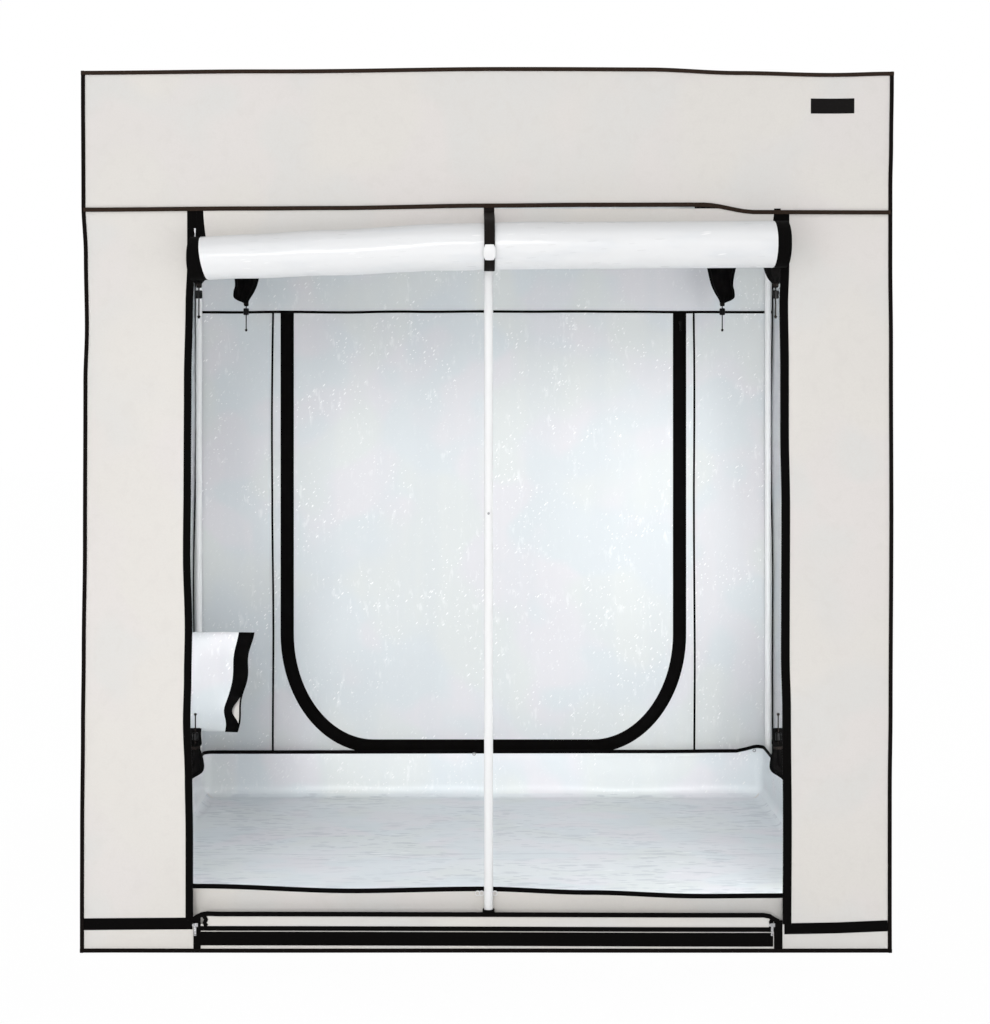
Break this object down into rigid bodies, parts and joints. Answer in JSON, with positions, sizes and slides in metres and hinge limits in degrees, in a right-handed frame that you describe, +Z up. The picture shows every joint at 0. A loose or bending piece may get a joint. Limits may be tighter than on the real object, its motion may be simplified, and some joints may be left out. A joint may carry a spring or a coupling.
{
  "type": "indoor grow tent",
  "caption": "Walk-in cloth grow tent on a tubular frame, front door rolled up and strapped, with tied duct sleeves, spill tray and zipped rear door.",
  "frame": {"origin": "centre of the footprint, on the ground under the floor sheet", "axes": "+Z up, front door faces -Y, +X to the right seen from the front"},
  "size_m": [2, 2.1386, 2.18],
  "materials": {
    "tube": "white powder coat",
    "fitting": "moulded black",
    "outer_cloth": "cream canvas outside, silver film inside",
    "binding": "folded black tape",
    "zip_tape": "black tape",
    "door_film": "glossy white film",
    "webbing": "black webbing",
    "floor_film": "wrinkled silver film",
    "black_sleeve": "soft black cloth",
    "pale_sleeve": "pale film with a black hem",
    "cord_lock": "moulded black",
    "zip_metal": "grey enamel",
    "button_steel": "dull steel"
  },
  "bodies": {
    "tent": {"upright_front_left": "tube", "upright_front_right": "tube", "upright_rear_left": "tube", "upright_rear_right": "tube", "centre_pole_lower": "tube", "centre_pole_upper": "tube", "ceiling_crossbar": "tube", "bottom_bar_front": "tube", "bottom_bar_rear": "tube", "bottom_bar_left": "tube", "bottom_bar_right": "tube", "top_bar_front": "tube", "top_bar_rear": "tube", "top_bar_left": "tube", "top_bar_right": "tube", "corner_bottom_front_left": "fitting", "corner_bottom_front_right": "fitting", "corner_bottom_rear_left": "fitting", "corner_bottom_rear_right": "fitting", "corner_top_front_left": "fitting", "corner_top_front_right": "fitting", "corner_top_rear_left": "fitting", "corner_top_rear_right": "fitting", "tee_bottom": "fitting", "tee_top": "fitting", "roof_panel": "outer_cloth", "floor_panel": "outer_cloth", "wall_left": "outer_cloth", "wall_right": "outer_cloth", "wall_rear": "outer_cloth", "front_header": "outer_cloth", "front_panel_left": "outer_cloth", "front_panel_right": "outer_cloth", "front_sill": "outer_cloth", "edge_binding": "binding", "front_zip_tape": "zip_tape", "rear_zip_band": "zip_tape", "floor_tray": "floor_film", "ceiling_sleeve_front_left": "black_sleeve", "ceiling_sleeve_front_right": "black_sleeve", "ceiling_sleeve_rear_left": "black_sleeve", "ceiling_sleeve_rear_right": "black_sleeve", "low_sleeve_left": "black_sleeve", "low_sleeve_right": "black_sleeve", "flat_sleeve": "pale_sleeve"},
    "front_door_bundle": {"front_door": "door_film", "door_strap": "webbing"},
    "rear_door_flap": {"rear_door": "outer_cloth"},
    "button": {"snap_button": "button_steel"},
    "slider_door_left": {"zip_slider_door_left": "zip_metal"},
    "slider_door_right": {"zip_slider_door_right": "zip_metal"},
    "slider_low_left": {"zip_slider_low_left": "zip_metal"},
    "slider_low_right": {"zip_slider_low_right": "zip_metal"},
    "slider_rear": {"zip_slider_rear": "zip_metal"},
    "lock_front_left": {"cord_lock_front_left": "cord_lock"},
    "lock_front_right": {"cord_lock_front_right": "cord_lock"},
    "lock_rear_left": {"cord_lock_rear_left": "cord_lock"},
    "lock_rear_right": {"cord_lock_rear_right": "cord_lock"},
    "lock_low_left": {"cord_lock_low_left": "cord_lock"},
    "lock_low_right": {"cord_lock_low_right": "cord_lock"}
  },
  "joints": [
    {"name": "front_door_lift", "type": "hinge", "parent": "tent", "child": "front_door_bundle", "pos_m": [0, -0.9973, 1.842], "axis": [-1, 0, 0], "range_deg": [0, 80]},
    {"name": "rear_door_swing", "type": "hinge", "parent": "tent", "child": "rear_door_flap", "pos_m": [0, 0.996, 1.66], "axis": [1, 0, 0], "range_deg": [0, 100]},
    {"name": "snap_button_press", "type": "slide", "parent": "tent", "child": "button", "axis": [0, 1, 0], "range_m": [0, 0.004], "stiffness_N_per_m": 500},
    {"name": "door_zip_left", "type": "slide", "parent": "tent", "child": "slider_door_left", "axis": [0, 0, -1], "range_m": [0, 1.65]},
    {"name": "door_zip_right", "type": "slide", "parent": "tent", "child": "slider_door_right", "axis": [0, 0, -1], "range_m": [0, 1.65]},
    {"name": "low_zip_left", "type": "slide", "parent": "tent", "child": "slider_low_left", "axis": [-1, 0, 0], "range_m": [0, 0.25]},
    {"name": "low_zip_right", "type": "slide", "parent": "tent", "child": "slider_low_right", "axis": [1, 0, 0], "range_m": [0, 0.275]},
    {"name": "rear_zip", "type": "slide", "parent": "tent", "child": "slider_rear", "axis": [0, 0, -1], "range_m": [0, 1]},
    {"name": "cord_lock_front_left_slide", "type": "slide", "parent": "tent", "child": "lock_front_left", "axis": [0, 0, -1], "range_m": [0, 0.038]},
    {"name": "cord_lock_front_right_slide", "type": "slide", "parent": "tent", "child": "lock_front_right", "axis": [0, 0, -1], "range_m": [0, 0.038]},
    {"name": "cord_lock_rear_left_slide", "type": "slide", "parent": "tent", "child": "lock_rear_left", "axis": [0, 0, -1], "range_m": [0, 0.038]},
    {"name": "cord_lock_rear_right_slide", "type": "slide", "parent": "tent", "child": "lock_rear_right", "axis": [0, 0, -1], "range_m": [0, 0.038]},
    {"name": "cord_lock_low_left_slide", "type": "slide", "parent": "tent", "child": "lock_low_left", "axis": [0, 0, 1], "range_m": [0, 0.038]},
    {"name": "cord_lock_low_right_slide", "type": "slide", "parent": "tent", "child": "lock_low_right", "axis": [0, 0, 1], "range_m": [0, 0.038]}
  ]
}
